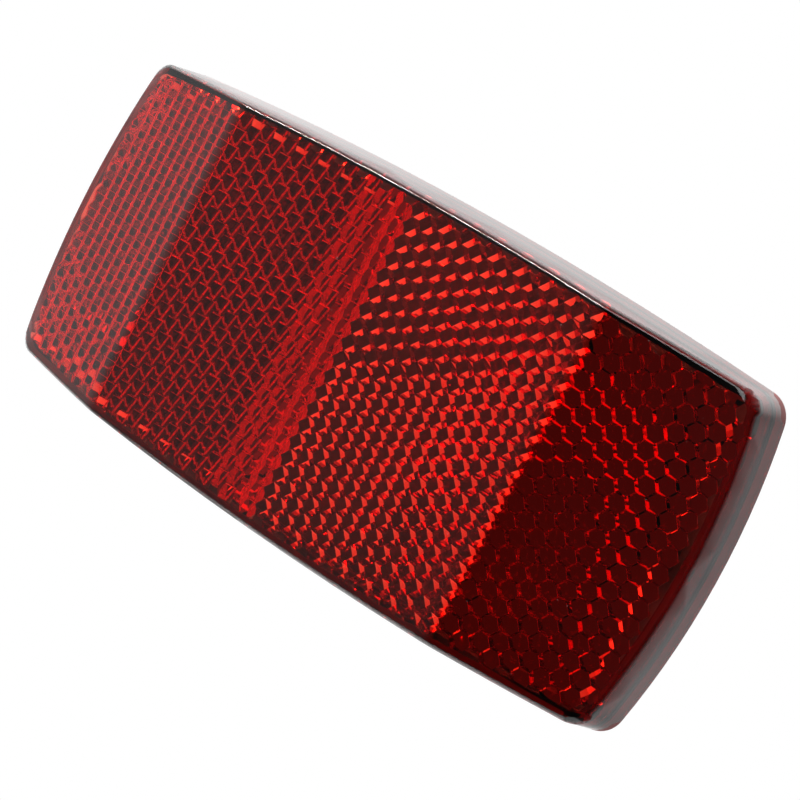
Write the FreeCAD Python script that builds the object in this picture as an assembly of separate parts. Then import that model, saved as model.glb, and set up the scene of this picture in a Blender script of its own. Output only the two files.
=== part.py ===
import FreeCAD, Part
import math
import os

# Bicycle rack reflector: a red lens with bent-back ends and moulded cube-corner prisms,
# a back plate that closes it, and two studs that hold it to a luggage rack.
# Millimetres and degrees. X points right seen from the front, Y from the lens to the rack, Z up.
# The origin lies midway between the studs, on the rear face that rests against the rack.

# Outline, measured at the rear rim
WIDTH = 100.0
HEIGHT = 46.0
LONG_EDGE_BOW = 2.2
SHORT_EDGE_BOW = 2.85
CORNER_RADIUS = 3.4

# Lens
DEPTH = 12.2
FRONT_HALF_WIDTH = 28.4
END_TILT = 15.3
BEND_RADIUS = 6.0
SIDE_DRAFT = 5.0
FRONT_EDGE_CHAMFER = 0.6
FRONT_WALL = 1.0
CAVITY_INSET = 2.0
RIM_WALL = 1.1

# Prisms
PRISM_PITCH = 2.18
PRISM_FOOT = 0.1
PRISM_SINK = 0.4
PRISM_LEAST_INSIDE = 0.1

# Back plate
PLATE_THICKNESS = 1.6
PLATE_CLEARANCE = 0.1
PLATE_EDGE_CHAMFER = 0.3
BOSS_DIAMETER = 11.0
BOSS_HEIGHT = 1.8

# Studs
STUD_FROM_END = 10.0
STUD_DIAMETER = 5.0
STUD_REACH = 12.0
STUD_TIP_CHAMFER = 0.7
NECK_DIAMETER = 6.0
HEAD_ACROSS_FLATS = 8.0
HEAD_THICKNESS = 2.0
STUD_CLEARANCE = 0.1

V = FreeCAD.Vector
REARWARD = V(0, 1, 0)
STUD_SPACING = WIDTH - 2 * STUD_FROM_END
HEAD_REAR = -PLATE_THICKNESS - BOSS_HEIGHT + HEAD_THICKNESS
DRAFT_SLOPE = math.tan(math.radians(SIDE_DRAFT))
TILT = math.radians(END_TILT)


def arc_radius(half_chord, bow):
    """Radius of the arc that rises by bow over half_chord."""
    return (half_chord ** 2 + bow ** 2) / (2 * bow)


LONG_EDGE_RADIUS = arc_radius(WIDTH / 2, LONG_EDGE_BOW)
SHORT_EDGE_RADIUS = arc_radius(HEIGHT / 2, SHORT_EDGE_BOW)
LONG_EDGE_CENTRE = (0.0, HEIGHT / 2 - LONG_EDGE_RADIUS)
SHORT_EDGE_CENTRE = (WIDTH / 2 - SHORT_EDGE_RADIUS, 0.0)


def corner_centre():
    """Centre of the corner arc at upper right, tangent inside both edge arcs."""
    reach_long = LONG_EDGE_RADIUS - CORNER_RADIUS
    reach_short = SHORT_EDGE_RADIUS - CORNER_RADIUS
    gap_x = SHORT_EDGE_CENTRE[0] - LONG_EDGE_CENTRE[0]
    gap_z = SHORT_EDGE_CENTRE[1] - LONG_EDGE_CENTRE[1]
    gap = math.hypot(gap_x, gap_z)
    along = (reach_long ** 2 - reach_short ** 2 + gap ** 2) / (2 * gap)
    aside = math.sqrt(reach_long ** 2 - along ** 2)
    x = LONG_EDGE_CENTRE[0] + (along * gap_x + aside * gap_z) / gap
    z = LONG_EDGE_CENTRE[1] + (along * gap_z - aside * gap_x) / gap
    return x, z


CORNER = corner_centre()


def beyond(centre, through, radius):
    """Point at radius from centre, in the direction of another point."""
    dx = through[0] - centre[0]
    dz = through[1] - centre[1]
    scale = radius / math.hypot(dx, dz)
    return centre[0] + dx * scale, centre[1] + dz * scale


def outline(inset, y):
    """Closed wire of the bowed outline, moved inwards by inset, at depth y."""
    top = (0.0, HEIGHT / 2 - inset)
    on_long = beyond(LONG_EDGE_CENTRE, CORNER, LONG_EDGE_RADIUS - inset)
    on_short = beyond(SHORT_EDGE_CENTRE, CORNER, SHORT_EDGE_RADIUS - inset)
    end = (WIDTH / 2 - inset, 0.0)
    quarter = [arc_at(y, LONG_EDGE_CENTRE, top, on_long)]
    quarter.append(arc_at(y, CORNER, on_long, on_short))
    quarter.append(arc_at(y, SHORT_EDGE_CENTRE, on_short, end))
    half = quarter + [edge.mirror(V(0, 0, 0), V(0, 0, 1)) for edge in quarter[::-1]]
    return Part.Wire(half + [edge.mirror(V(0, 0, 0), V(1, 0, 0)) for edge in half[::-1]])


def arc_at(y, centre, start, stop):
    """Short arc about centre between two points, at depth y."""
    middle = ((start[0] + stop[0]) / 2, (start[1] + stop[1]) / 2)
    radius = math.hypot(start[0] - centre[0], start[1] - centre[1])
    points = [V(p[0], y, p[1]) for p in (start, beyond(centre, middle, radius), stop)]
    return Part.Arc(*points).toShape()


def drafted_block():
    """Solid inside the drafted side walls, from the rear rim to past the front."""
    past_front = DEPTH + FRONT_WALL
    wires = [outline(0, 0), outline(past_front * DRAFT_SLOPE, -past_front)]
    return Part.makeLoft(wires, True, True)


def straight_block(inset, depth):
    """Solid with straight sides, reaching forwards from the rear rim."""
    return Part.Face(outline(inset, 0)).extrude(REARWARD * -depth)


def front_break(set_back):
    """Where the middle face, moved rearwards by set_back, meets the tilted end face."""
    return FRONT_HALF_WIDTH - set_back * math.tan(TILT / 2), -DEPTH + set_back


def behind_front(set_back, bend_radius):
    """Everything behind the bent front surface moved rearwards by set_back."""
    break_x, front_y = front_break(set_back)
    far_x = WIDTH
    far_y = front_y + (far_x - break_x) * math.tan(TILT)
    trim = bend_radius * math.tan(TILT / 2)
    bow = bend_radius * (1 / math.cos(TILT / 2) - 1)
    bend_start = V(break_x - trim, front_y, 0)
    bend_mid = V(break_x - bow * math.sin(TILT / 2), front_y + bow * math.cos(TILT / 2), 0)
    bend_stop = V(break_x + trim * math.cos(TILT), front_y + trim * math.sin(TILT), 0)
    far = V(far_x, far_y, 0)
    rear = V(far_x, WIDTH, 0)
    right = [rear, far, bend_stop, bend_mid, bend_start]
    left = [V(-p.x, p.y, 0) for p in right]
    edges = [Part.LineSegment(right[0], right[1]).toShape(), Part.LineSegment(right[1], right[2]).toShape()]
    edges.append(Part.Arc(right[2], right[3], right[4]).toShape())
    edges.append(Part.LineSegment(right[4], left[4]).toShape())
    edges.append(Part.Arc(left[4], left[3], left[2]).toShape())
    edges.append(Part.LineSegment(left[2], left[1]).toShape())
    edges.append(Part.LineSegment(left[1], left[0]).toShape())
    edges.append(Part.LineSegment(left[0], right[0]).toShape())
    profile = Part.Face(Part.Wire(edges))
    profile.translate(V(0, 0, -HEIGHT))
    return profile.extrude(V(0, 0, 2 * HEIGHT))


def faces_forward(face):
    """True for a face of the front surface, false for a side wall or the rear."""
    u0, u1, v0, v1 = face.ParameterRange
    return face.normalAt((u0 + u1) / 2, (v0 + v1) / 2).y < -math.cos(2 * TILT)


def front_rim(solid):
    """Edges where the front surface meets the side walls."""
    sides = [face for face in solid.Faces if not faces_forward(face)]
    side_edges = [edge for face in sides for edge in face.Edges]
    rim = []
    for face in solid.Faces:
        if not faces_forward(face):
            continue
        rim += [edge for edge in face.Edges if any(edge.isSame(other) for other in side_edges)]
    return rim


def lens_cap():
    """Lens before its prisms: chamfered outside, flat inside, with a seat for the back plate."""
    outside = drafted_block().common(behind_front(0, BEND_RADIUS))
    outside = outside.makeChamfer(FRONT_EDGE_CHAMFER, front_rim(outside))
    cavity = straight_block(CAVITY_INSET, 2 * DEPTH).common(behind_front(FRONT_WALL, BEND_RADIUS - FRONT_WALL))
    return outside.cut(cavity).cut(straight_block(RIM_WALL, PLATE_THICKNESS))


# Each prism is the corner of a cube on a hexagonal foot. Three feet corners lie low and three lie
# half way up, so prisms of one direction join edge to edge. One low corner of each points to the part's middle.
CELL_RADIUS = PRISM_PITCH / math.sqrt(3)
COLUMN_PITCH = PRISM_PITCH * math.sqrt(3) / 2
TIP_HEIGHT = CELL_RADIUS * math.sqrt(2)
COLUMNS_TO_BEND = round(FRONT_HALF_WIDTH / COLUMN_PITCH)
COLUMNS_TO_END = int(WIDTH / 2 / COLUMN_PITCH) + 1
ROWS = int(HEIGHT / PRISM_PITCH) + 1


def inside_cavity(x, z):
    """True where a prism's centre stands clear of the side wall's inner face."""
    inset = CAVITY_INSET + PRISM_LEAST_INSIDE
    x, z = abs(x), abs(z)
    if math.hypot(x - LONG_EDGE_CENTRE[0], z - LONG_EDGE_CENTRE[1]) > LONG_EDGE_RADIUS - inset:
        return False
    if math.hypot(x - SHORT_EDGE_CENTRE[0], z - SHORT_EDGE_CENTRE[1]) > SHORT_EDGE_RADIUS - inset:
        return False
    beyond_corner = x > CORNER[0] and z > CORNER[1]
    return not beyond_corner or math.hypot(x - CORNER[0], z - CORNER[1]) < CORNER_RADIUS - inset


def prism_centres(side, columns):
    """Centres (x, z) of one half's prisms, x counted outwards, columns staggered by half a pitch."""
    for column in columns:
        x = (column + 0.5) * COLUMN_PITCH
        shift = side * (0.25 if column % 2 == 0 else -0.25)
        rows = [(row + shift) * PRISM_PITCH for row in range(-ROWS, ROWS + 1)]
        for z in rows:
            if inside_cavity(x, z):
                yield x, z


def prism_faces(x, z):
    """Three faces of one prism, as (x, height, z) points, x counted outwards."""
    faces = []
    for low_angle in (180, 60, -60):
        face = [(x, TIP_HEIGHT, z)]
        for angle, height in ((low_angle - 60, TIP_HEIGHT / 2), (low_angle, 0.0), (low_angle + 60, TIP_HEIGHT / 2)):
            turn = math.radians(angle)
            face.append((x + CELL_RADIUS * math.cos(turn), height, z + CELL_RADIUS * math.sin(turn)))
        faces.append(face)
    return faces


def key(point):
    """Whole-number place of a prism's corner in the lattice."""
    x, height, z = point
    return round(4 * x / CELL_RADIUS), round(2 * height / TIP_HEIGHT), round(4 * z / PRISM_PITCH)


def border(faces):
    """Corners around a panel's prisms, along the edges that only one face uses."""
    used = {}
    for face in faces:
        for start, stop in zip(face, face[1:] + face[:1]):
            used.setdefault(frozenset((key(start), key(stop))), []).append((start, stop))
    following = {key(uses[0][0]): uses[0][1] for uses in used.values() if len(uses) == 1}
    loop = [next(iter(following.values()))]
    while key(following[key(loop[-1])]) != key(loop[0]):
        loop.append(following[key(loop[-1])])
    return loop


def prism_slab(side, columns, place):
    """Solid of one panel's prisms, its foot sunk into the front wall; border prisms run into the side wall."""
    faces = [face for x, z in prism_centres(side, columns) for face in prism_faces(x, z)]
    loop = border(faces)
    foot = [(x, -PRISM_FOOT - PRISM_SINK, z) for x, height, z in loop]
    walls = [[loop[i], loop[i - 1], foot[i - 1], foot[i]] for i in range(len(loop))]
    polygons = [[place(*point) for point in polygon[::side]] for polygon in faces + walls + [foot]]
    shell = Part.makeShell([polygon_face(polygon) for polygon in polygons])
    shell.sewShape()
    return Part.makeSolid(shell)


def polygon_face(points):
    return Part.Face(Part.makePolygon(points + [points[0]]))


def middle_prisms(side):
    """Prisms on one half of the flat middle of the lens."""
    base_y = -DEPTH + FRONT_WALL + PRISM_FOOT

    def place(x, height, z):
        return V(side * x, base_y + height, z)

    return prism_slab(side, range(COLUMNS_TO_BEND), place)


def end_prisms(side):
    """Prisms on one bent-back end, square to its face."""
    break_x, break_y = front_break(FRONT_WALL + PRISM_FOOT)

    def place(x, height, z):
        y = break_y + (x - break_x) * math.tan(TILT)
        return V(side * (x - height * math.sin(TILT)), y + height * math.cos(TILT), z)

    return prism_slab(side, range(COLUMNS_TO_BEND, COLUMNS_TO_END), place)


def lens():
    slabs = [panel(side) for panel in (middle_prisms, end_prisms) for side in (1, -1)]
    return lens_cap().fuse(slabs)


def stud_places():
    return [V(side * STUD_SPACING / 2, 0, 0) for side in (-1, 1)]


def hexagon(across_flats, centre, y):
    """Hexagonal face square to Y, with two flats level."""
    radius = across_flats / math.sqrt(3)
    turns = [math.radians(60 * index) for index in range(6)]
    points = [V(centre.x + radius * math.cos(t), y, centre.z + radius * math.sin(t)) for t in turns]
    return polygon_face(points)


def back_plate():
    """Plate seated in the lens, with a boss around the head of each stud."""
    plate = straight_block(RIM_WALL + PLATE_CLEARANCE, PLATE_THICKNESS)
    rear_rim = [edge for edge in plate.Edges if edge.BoundBox.YMin > -PLATE_THICKNESS / 2]
    plate = plate.makeChamfer(PLATE_EDGE_CHAMFER, rear_rim)
    boss_height = PLATE_THICKNESS + BOSS_HEIGHT
    for place in stud_places():
        plate = plate.fuse(Part.makeCylinder(BOSS_DIAMETER / 2, boss_height, place, -REARWARD))
        pocket = hexagon(HEAD_ACROSS_FLATS + 2 * STUD_CLEARANCE, place, HEAD_REAR)
        plate = plate.cut(pocket.extrude(V(0, -2 * HEAD_THICKNESS, 0)))
        hole_r = NECK_DIAMETER / 2 + STUD_CLEARANCE
        plate = plate.cut(Part.makeCylinder(hole_r, boss_height, place, -REARWARD))
    return plate.removeSplitter()


def stud(place):
    """Headed stud: a neck fills the plate's hole, the shank starts at the rear face."""
    head = hexagon(HEAD_ACROSS_FLATS, place, HEAD_REAR).extrude(V(0, -HEAD_THICKNESS, 0))
    neck = Part.makeCylinder(NECK_DIAMETER / 2, -HEAD_REAR, place, -REARWARD)
    shank = Part.makeCylinder(STUD_DIAMETER / 2, STUD_REACH, place, REARWARD)
    tip = [edge for edge in shank.Edges if edge.BoundBox.YMin > STUD_REACH / 2]
    shank = shank.makeChamfer(STUD_TIP_CHAMFER, tip)
    return head.fuse([neck, shank]).removeSplitter()


def main():
    os.makedirs("parts", exist_ok=True)
    nodes = {
        "lens": lens(),
        "back_plate": back_plate(),
        "mounting_studs": Part.makeCompound([stud(place) for place in stud_places()]),
    }
    for name, shape in nodes.items():
        shape.exportStep("parts/" + name + ".step")
        print(name, "valid", shape.isValid(), "solids", len(shape.Solids), "faces", len(shape.Faces),
              "volume", round(shape.Volume, 1))


main()
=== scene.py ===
import math
from typing import NamedTuple

import bmesh
import bpy
from mathutils import Matrix, Vector


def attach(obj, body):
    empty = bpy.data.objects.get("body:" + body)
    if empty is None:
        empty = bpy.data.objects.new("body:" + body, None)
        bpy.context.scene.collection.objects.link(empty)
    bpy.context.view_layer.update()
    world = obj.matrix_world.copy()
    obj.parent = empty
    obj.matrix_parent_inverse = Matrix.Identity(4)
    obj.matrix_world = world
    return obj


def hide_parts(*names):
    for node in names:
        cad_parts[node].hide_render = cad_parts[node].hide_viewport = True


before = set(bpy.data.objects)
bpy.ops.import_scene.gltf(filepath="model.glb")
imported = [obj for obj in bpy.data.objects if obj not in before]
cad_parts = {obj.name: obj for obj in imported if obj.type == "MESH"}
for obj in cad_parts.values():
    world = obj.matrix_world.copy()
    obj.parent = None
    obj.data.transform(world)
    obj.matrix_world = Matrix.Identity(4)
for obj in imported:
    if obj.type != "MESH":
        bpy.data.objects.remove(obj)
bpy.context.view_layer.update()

# Lengths are in metres, apart from those whose names end in another unit.
MM = 0.001

# Camera: its place, and the directions of the picture's right and down.
CAMERA_AT_MM = (143.201, -229.378, 31.022)
CAMERA_RIGHT = (0.72567, 0.50740, 0.46470)
CAMERA_DOWN = (0.45469, 0.15325, -0.87737)
CAMERA_NEAR = 0.01
FOCAL_PX = 2265.436
FRAME_PX = 800
SENSOR_MM = 36.0

# Lens mesh: what counts as one point or one plane, and how far a kind of face looks to the rear.
SAME_POINT = 0.001 * MM
SAME_PLANE = math.radians(0.05)
PRISM_REARWARD = (0.2, 0.97)
OUTSIDE_REARWARD = -0.02

# Lens materials, by their number on the mesh.
CLEAR, SCATTERING, WELD = range(3)
WELD_DEPTH = 1.8 * MM
MATT_FROM = -3.9 * MM
MATT_TO = -0.1 * MM

# How far the worn edges between the prisms are broken, by half and part of the lens.
# The edges run level, rising to the right or falling to the right, seen from the front.
SHARP = math.radians(60.0)
BEND_AT = 28.4 * MM
PRISM_EDGE_BREAK = {
    ("left", "end"): {
        ("valley", "rising"): 0.19 * MM,
        ("valley", "falling"): 0.19 * MM,
        ("ridge", "rising"): 0.14 * MM,
        ("ridge", "falling"): 0.14 * MM,
        ("ridge", "level"): 0.04 * MM,
    },
    ("left", "middle"): {
        ("ridge", "rising"): 0.15 * MM,
        ("valley", "level"): 0.035 * MM,
    },
    ("right", "end"): {
        ("valley", "falling"): 0.03 * MM,
    },
}

# Stud: an M5 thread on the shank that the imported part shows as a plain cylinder.
STUD_AT = 40.0 * MM
STUD_HEAD_SIDES = 6
STUD_HEAD_ACROSS_FLATS = 8.0 * MM
STUD_HEAD = (-3.4 * MM, -1.4 * MM)
STUD_NECK_RADIUS = 3.0 * MM
THREAD_RADIUS = 2.5 * MM
THREAD_DEPTH = 0.45 * MM
THREAD_PITCH = 0.8 * MM
THREAD_END = 12.0 * MM
THREAD_LEAD_IN = 0.7 * MM
FLANK_SLOPE = 1.25
ROOT_FLAT = 0.12
STEPS_AROUND = 40
STEPS_PER_TURN = 8


class Finish(NamedTuple):
    """Noise over the object and the colour that it gives, as (position, colour) stops."""
    scale: float
    detail: float
    stops: tuple


def grey(level):
    return (level, level, level)


# Red acrylic: clear, coloured by depth, with specks of dust.
ACRYLIC_IOR = 1.585
ACRYLIC_DEPTH_COLOUR = (0.98, 0.18, 0.0, 1)
ACRYLIC_DENSITY = 1000.0
DUST_COLOUR = (0.75, 0.72, 0.70, 1)
DUST_SPECKS = Finish(2500.0, 2.0, ((0.79, grey(0)), (0.84, grey(0.6))))

# Other finishes.
PRISM_EDGE = Finish(400.0, 3.0, ((0.35, (0.70, 0.006, 0.006)), (0.65, (0.90, 0.012, 0.01))))
RIM_WELD = Finish(200.0, 3.0, ((0.3, (0.28, 0.085, 0.08)), (0.7, (0.36, 0.11, 0.105))))
DARK_PLASTIC = Finish(60.0, 4.0, ((0.3, grey(0.04)), (0.7, grey(0.06))))
ZINC_STEEL = Finish(300.0, 4.0, ((0.3, (0.50, 0.51, 0.53)), (0.7, (0.66, 0.67, 0.69))))
ZINC_ROUGHNESS = ((0.3, grey(0.25)), (0.7, grey(0.4)))
PALE_FLOOR = Finish(12.0, 3.0, ((0.3, grey(0.82)), (0.7, grey(0.86))))
GRAIN_SCALE = 2500.0
GRAIN_DETAIL = 2.0
GRAIN_STRENGTH = 0.15
GRAIN_DEPTH = 0.1 * MM

# Studio: its colour from the bright side (0) to the dark side (1), which the lens faces.
DARK_SIDE = Vector((0.525, -0.842, 0.114)).normalized()
STUDIO_STOPS = (
    (0.22, grey(1.0)),
    (0.35, grey(0.70)),
    (0.46, grey(0.57)),
    (0.71, grey(0.17)),
    (0.85, grey(0.035)),
    (0.92, grey(0.02)),
    (0.98, grey(0.055)),
)

# Studio: its strength around and above, its share below, and the rise of direction over which each changes.
SIDE_LEVEL = 1.05
TOP_LEVEL = 2.1
TOP_SPAN = (0.30, 0.55)
BELOW_SHARE = 0.4
BELOW_SPAN = (-0.60, -0.30)

# Floor and softboxes.
FLOOR_AT = -0.25
FLOOR_HALF_WIDTH = 0.20
SOFTBOX_AWAY = 0.6
KEY_TOWARDS = Vector((-0.525, -0.757, 0.385)).normalized()
KEY_SIZE = (0.40, 0.08)
KEY_POWER = 3.9
FRONT_TOWARDS = Vector((-0.06, -0.86, 0.52)).normalized()
FRONT_SIZE = (0.50, 0.35)
FRONT_POWER = 1.6

# Light turns many times inside the prisms.
BOUNCES = 40


def make_camera():
    data = bpy.data.cameras.new("camera")
    data.sensor_width = SENSOR_MM
    data.lens = FOCAL_PX / FRAME_PX * SENSOR_MM
    data.clip_start = CAMERA_NEAR
    camera = bpy.data.objects.new("camera", data)
    bpy.context.collection.objects.link(camera)
    right = Vector(CAMERA_RIGHT).normalized()
    up = -Vector(CAMERA_DOWN)
    back = right.cross(up).normalized()
    up = back.cross(right)
    turn = Matrix((right, up, back)).transposed().to_4x4()
    camera.matrix_world = Matrix.Translation(Vector(CAMERA_AT_MM) * MM) @ turn
    bpy.context.scene.camera = camera


def new_material(name):
    material = bpy.data.materials.new(name)
    material.use_nodes = True
    return material, material.node_tree.nodes, material.node_tree.links


def add_noise(nodes, links, scale, detail):
    """Noise over the object's own coordinates."""
    place = nodes.new("ShaderNodeTexCoord")
    noise = nodes.new("ShaderNodeTexNoise")
    noise.inputs["Scale"].default_value = scale
    noise.inputs["Detail"].default_value = detail
    links.new(place.outputs["Object"], noise.inputs["Vector"])
    return noise.outputs["Fac"]


def add_ramp(nodes, links, source, stops):
    """Colour that follows (position, colour) stops along a source."""
    ramp = nodes.new("ShaderNodeValToRGB")
    elements = ramp.color_ramp.elements
    while len(elements) < len(stops):
        elements.new(1.0)
    for element, (position, colour) in zip(elements, stops):
        element.position = position
        element.color = (*colour, 1)
    links.new(source, ramp.inputs["Fac"])
    return ramp.outputs["Color"]


def add_step(nodes, links, source, span, levels):
    """Value that goes from one level to the other over a span of the source."""
    step = nodes.new("ShaderNodeMapRange")
    step.inputs["From Min"].default_value, step.inputs["From Max"].default_value = span
    step.inputs["To Min"].default_value, step.inputs["To Max"].default_value = levels
    links.new(source, step.inputs["Value"])
    return step.outputs["Result"]


def opaque_material(name, finish, roughness):
    """Material whose colour varies by its finish."""
    material, nodes, links = new_material(name)
    shader = nodes["Principled BSDF"]
    tone = add_noise(nodes, links, finish.scale, finish.detail)
    links.new(add_ramp(nodes, links, tone, finish.stops), shader.inputs["Base Color"])
    shader.inputs["Roughness"].default_value = roughness
    return material


def acrylic_material():
    """Clear red plastic, coloured by the depth that light passes through, with specks of dust on it."""
    material, nodes, links = new_material("red_acrylic")
    clear = nodes["Principled BSDF"]
    clear.inputs["Base Color"].default_value = (1, 1, 1, 1)
    clear.inputs["Roughness"].default_value = 0.0
    clear.inputs["IOR"].default_value = ACRYLIC_IOR
    clear.inputs["Transmission Weight"].default_value = 1.0
    depth = nodes.new("ShaderNodeVolumeAbsorption")
    depth.inputs["Color"].default_value = ACRYLIC_DEPTH_COLOUR
    depth.inputs["Density"].default_value = ACRYLIC_DENSITY
    dust = nodes.new("ShaderNodeBsdfDiffuse")
    dust.inputs["Color"].default_value = DUST_COLOUR
    specks = add_noise(nodes, links, DUST_SPECKS.scale, DUST_SPECKS.detail)
    mix = nodes.new("ShaderNodeMixShader")
    links.new(add_ramp(nodes, links, specks, DUST_SPECKS.stops), mix.inputs["Fac"])
    links.new(clear.outputs["BSDF"], mix.inputs[1])
    links.new(dust.outputs["BSDF"], mix.inputs[2])
    links.new(mix.outputs["Shader"], nodes["Material Output"].inputs["Surface"])
    links.new(depth.outputs["Volume"], nodes["Material Output"].inputs["Volume"])
    return material


def plastic_material():
    """Dark grey moulded plastic with a fine grain."""
    material = opaque_material("grey_abs", DARK_PLASTIC, roughness=0.5)
    nodes, links = material.node_tree.nodes, material.node_tree.links
    bump = nodes.new("ShaderNodeBump")
    bump.inputs["Strength"].default_value = GRAIN_STRENGTH
    bump.inputs["Distance"].default_value = GRAIN_DEPTH
    links.new(add_noise(nodes, links, GRAIN_SCALE, GRAIN_DETAIL), bump.inputs["Height"])
    links.new(bump.outputs["Normal"], nodes["Principled BSDF"].inputs["Normal"])
    return material


def zinc_material():
    """Zinc-plated steel, a little uneven."""
    material, nodes, links = new_material("zinc_steel")
    shader = nodes["Principled BSDF"]
    tone = add_noise(nodes, links, ZINC_STEEL.scale, ZINC_STEEL.detail)
    links.new(add_ramp(nodes, links, tone, ZINC_STEEL.stops), shader.inputs["Base Color"])
    links.new(add_ramp(nodes, links, tone, ZINC_ROUGHNESS), shader.inputs["Roughness"])
    shader.inputs["Metallic"].default_value = 1.0
    return material


def lens_materials():
    """Materials of the lens, in the order of their numbers."""
    return (
        acrylic_material(),
        opaque_material("prism_edge", PRISM_EDGE, roughness=0.6),
        opaque_material("rim_weld", RIM_WELD, roughness=0.7),
    )


def seat(piece, node, *materials):
    """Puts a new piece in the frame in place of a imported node."""
    bpy.context.collection.objects.link(piece)
    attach(piece, "root")
    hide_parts(node)
    for material in materials:
        piece.data.materials.append(material)


def is_prism(face):
    least, most = PRISM_REARWARD
    return least < face.normal.y < most


def is_outside(face):
    return face.normal.y < OUTSIDE_REARWARD


def is_weld(face):
    return all(vert.co.y > -WELD_DEPTH for vert in face.verts)


def is_matt(face):
    """True for the prism faces along the middle seam that scatter light."""
    return is_prism(face) and face.normal.x > 0 and MATT_FROM < face.calc_center_median().x < MATT_TO


def material_of(face):
    """Number of the lens material that a face carries."""
    if is_weld(face):
        return WELD
    return SCATTERING if is_matt(face) else CLEAR


def form_of(edge):
    """Whether an edge between two prism faces is a valley or a ridge, seen from behind."""
    if not all(is_prism(face) for face in edge.link_faces):
        return None
    angle = edge.calc_face_angle_signed()
    if abs(angle) < SHARP:
        return None
    return "valley" if angle < 0 else "ridge"


def panel_of(edge):
    """Which half and which part of the lens an edge lies in."""
    x = (edge.verts[0].co.x + edge.verts[1].co.x) / 2
    return ("right" if x > 0 else "left", "end" if abs(x) > BEND_AT else "middle")


def run_of(edge):
    """How an edge runs, seen from the front."""
    along = edge.verts[1].co - edge.verts[0].co
    if abs(along.z) < abs(along.x) / 2:
        return "level"
    return "rising" if along.x * along.z > 0 else "falling"


def break_edges(bm, panel, kind, width):
    """Breaks one panel's edges of one form and run, with a strip that scatters light."""
    bm.normal_update()
    edges = [
        edge for edge in bm.edges
        if panel_of(edge) == panel and (form_of(edge), run_of(edge)) == kind
    ]
    bmesh.ops.bevel(bm, geom=edges, offset=width, offset_type="OFFSET", segments=1, affect="EDGES",
                    material=SCATTERING)


def make_lens():
    """The lens as packed, with its rim shaded round and the edges between its prisms broken."""
    bm = bmesh.new()
    bm.from_mesh(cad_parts["lens"].data)
    bmesh.ops.remove_doubles(bm, verts=bm.verts, dist=SAME_POINT)
    bmesh.ops.dissolve_limit(bm, angle_limit=SAME_PLANE, verts=bm.verts, edges=bm.edges)
    bm.normal_update()
    for face in bm.faces:
        face.material_index = material_of(face)
    for panel, breaks in PRISM_EDGE_BREAK.items():
        for kind, width in breaks.items():
            break_edges(bm, panel, kind, width)
    bmesh.ops.triangulate(bm, faces=bm.faces)
    bmesh.ops.dissolve_degenerate(bm, dist=SAME_POINT, edges=bm.edges)
    bm.normal_update()
    mesh = bpy.data.meshes.new("lens_detail")
    bm.to_mesh(mesh)
    outside = [is_outside(face) for face in bm.faces]
    bm.free()
    soften(mesh, outside)
    seat(bpy.data.objects.new("lens_detail", mesh), "lens", *lens_materials())


def soften(mesh, soft_faces):
    """Rounds the shading of some faces; the larger ones keep their own direction."""
    sums = [Vector((0, 0, 0)) for _ in mesh.vertices]
    for polygon, soft in zip(mesh.polygons, soft_faces):
        if soft:
            for index in polygon.vertices:
                sums[index] += polygon.normal * polygon.area
    normals = []
    for polygon, soft in zip(mesh.polygons, soft_faces):
        for index in polygon.vertices:
            normals.append(sums[index].normalized() if soft else polygon.normal)
    mesh.polygons.foreach_set("use_smooth", [True] * len(mesh.polygons))
    mesh.normals_split_custom_set(normals)


def thread_radius(y, turn):
    """Radius of the thread's surface at a depth and a part of a turn."""
    phase = (y / THREAD_PITCH - turn) % 1.0
    crest = 1.0 - abs(2.0 * phase - 1.0)
    flat_topped = min(1.0, max(0.0, FLANK_SLOPE * crest - ROOT_FLAT))
    outer = THREAD_RADIUS - max(0.0, y - (THREAD_END - THREAD_LEAD_IN))
    return min(outer, THREAD_RADIUS - THREAD_DEPTH * (1.0 - flat_topped))


def head_radius(turn):
    """Distance from the middle of the hexagonal head to its side."""
    side = 1 / STUD_HEAD_SIDES
    off_flat = turn % side - side / 2
    return STUD_HEAD_ACROSS_FLATS / 2 / math.cos(2 * math.pi * off_flat)


def stud_ring(bm, x, y, radius_at):
    """Points around a stud's axis, at the radius that each part of a turn has."""
    ring = []
    for step in range(STEPS_AROUND):
        turn = step / STEPS_AROUND
        angle = 2 * math.pi * turn
        radius = radius_at(turn)
        ring.append(bm.verts.new((x + radius * math.cos(angle), y, radius * math.sin(angle))))
    return ring


def stud_rings(bm, x):
    """Rings of one stud from the front of its head to its tip."""
    front, rear = STUD_HEAD
    rings = [stud_ring(bm, x, y, head_radius) for y in (front, rear)]
    rings += [stud_ring(bm, x, y, lambda turn: STUD_NECK_RADIUS) for y in (rear, 0.0)]
    steps = round(THREAD_END / THREAD_PITCH * STEPS_PER_TURN)
    for step in range(steps + 1):
        y = THREAD_END * step / steps
        rings.append(stud_ring(bm, x, y, lambda turn: thread_radius(y, turn)))
    return rings


def skin(bm, rings):
    """Closed surface over a row of rings."""
    bm.faces.new(rings[0])
    bm.faces.new(rings[-1][::-1])
    for front, rear in zip(rings, rings[1:]):
        for step in range(STEPS_AROUND):
            following = (step + 1) % STEPS_AROUND
            bm.faces.new((front[step], rear[step], rear[following], front[following]))


def make_studs():
    """Both studs, with their threads."""
    bm = bmesh.new()
    for x in (-STUD_AT, STUD_AT):
        skin(bm, stud_rings(bm, x))
    bmesh.ops.recalc_face_normals(bm, faces=bm.faces)
    mesh = bpy.data.meshes.new("stud_threads")
    bm.to_mesh(mesh)
    bm.free()
    seat(bpy.data.objects.new("stud_threads", mesh), "mounting_studs", zinc_material())


def dress_plate():
    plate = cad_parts["back_plate"]
    plate.data.materials.clear()
    plate.data.materials.append(plastic_material())


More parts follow.
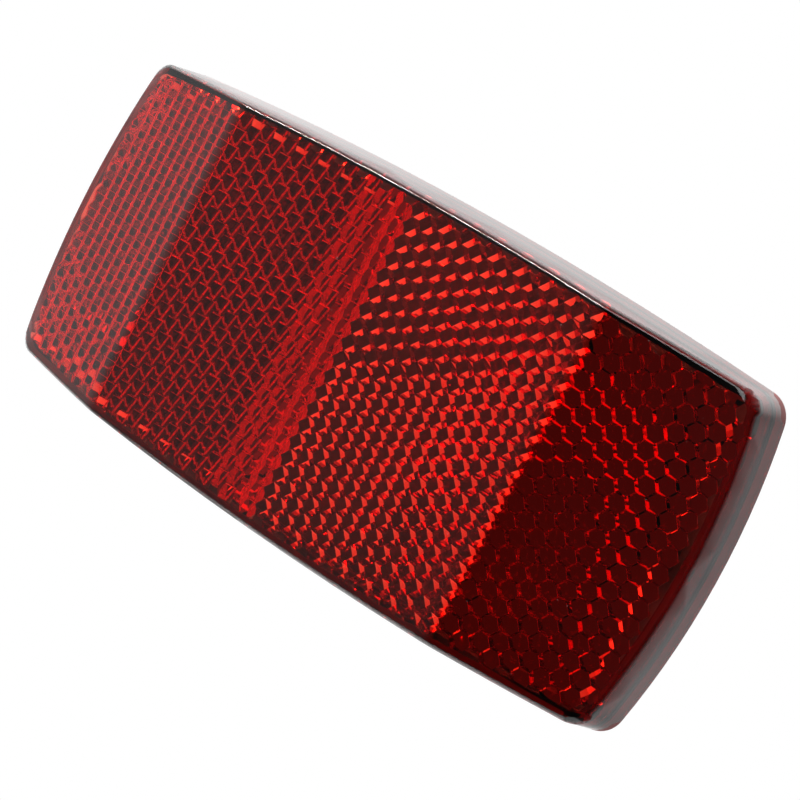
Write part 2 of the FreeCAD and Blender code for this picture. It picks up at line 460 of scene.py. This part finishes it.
def studio_colour(nodes, links, direction):
    """Colour of the surroundings in a direction, by its share of the dark side."""
    towards = nodes.new("ShaderNodeVectorMath")
    towards.operation = "DOT_PRODUCT"
    towards.inputs[1].default_value = DARK_SIDE
    links.new(direction, towards.inputs[0])
    share = add_step(nodes, links, towards.outputs["Value"], (-1.0, 1.0), (0.0, 1.0))
    return add_ramp(nodes, links, share, STUDIO_STOPS)


def studio_strength(nodes, links, direction):
    """Strength of the surroundings in a direction, by how far it rises."""
    parts = nodes.new("ShaderNodeSeparateXYZ")
    links.new(direction, parts.inputs["Vector"])
    rise = parts.outputs["Z"]
    strength = nodes.new("ShaderNodeMath")
    strength.operation = "MULTIPLY"
    links.new(add_step(nodes, links, rise, TOP_SPAN, (SIDE_LEVEL, TOP_LEVEL)), strength.inputs[0])
    links.new(add_step(nodes, links, rise, BELOW_SPAN, (BELOW_SHARE, 1.0)), strength.inputs[1])
    return strength.outputs["Value"]


def make_world():
    """White studio, dark on the side that the lens faces; the camera itself sees plain white."""
    world = bpy.data.worlds.new("studio")
    bpy.context.scene.world = world
    world.use_nodes = True
    nodes = world.node_tree.nodes
    links = world.node_tree.links
    direction = nodes.new("ShaderNodeTexCoord").outputs["Generated"]
    surroundings = nodes["Background"]
    links.new(studio_colour(nodes, links, direction), surroundings.inputs["Color"])
    links.new(studio_strength(nodes, links, direction), surroundings.inputs["Strength"])
    backdrop = nodes.new("ShaderNodeBackground")
    backdrop.inputs["Color"].default_value = (1, 1, 1, 1)
    path = nodes.new("ShaderNodeLightPath")
    choose = nodes.new("ShaderNodeMixShader")
    links.new(path.outputs["Is Camera Ray"], choose.inputs["Fac"])
    links.new(surroundings.outputs["Background"], choose.inputs[1])
    links.new(backdrop.outputs["Background"], choose.inputs[2])
    links.new(choose.outputs["Shader"], nodes["World Output"].inputs["Surface"])


def make_floor():
    """Plain pale floor well below the object, out of the picture's frame."""
    half = FLOOR_HALF_WIDTH
    corners = [(x, y, FLOOR_AT) for x, y in ((-half, -half), (half, -half), (half, half), (-half, half))]
    mesh = bpy.data.meshes.new("floor")
    mesh.from_pydata(corners, [], [(0, 1, 2, 3)])
    mesh.materials.append(opaque_material("pale_floor", PALE_FLOOR, roughness=0.8))
    floor = bpy.data.objects.new("floor", mesh)
    bpy.context.collection.objects.link(floor)


def make_softbox(name, towards, size, power):
    """Soft area light that faces the object."""
    data = bpy.data.lights.new(name, "AREA")
    data.shape = "RECTANGLE"
    data.size, data.size_y = size
    data.energy = power
    light = bpy.data.objects.new(name, data)
    light.location = towards * SOFTBOX_AWAY
    light.rotation_euler = towards.to_track_quat("Z", "Y").to_euler()
    bpy.context.collection.objects.link(light)


def set_render(scene):
    scene.view_settings.view_transform = "Standard"
    scene.cycles.max_bounces = BOUNCES
    scene.cycles.glossy_bounces = BOUNCES
    scene.cycles.transmission_bounces = BOUNCES


make_camera()
make_lens()
make_studs()
dress_plate()
make_world()
make_floor()
make_softbox("key_softbox", KEY_TOWARDS, KEY_SIZE, KEY_POWER)
make_softbox("front_softbox", FRONT_TOWARDS, FRONT_SIZE, FRONT_POWER)
set_render(bpy.context.scene)
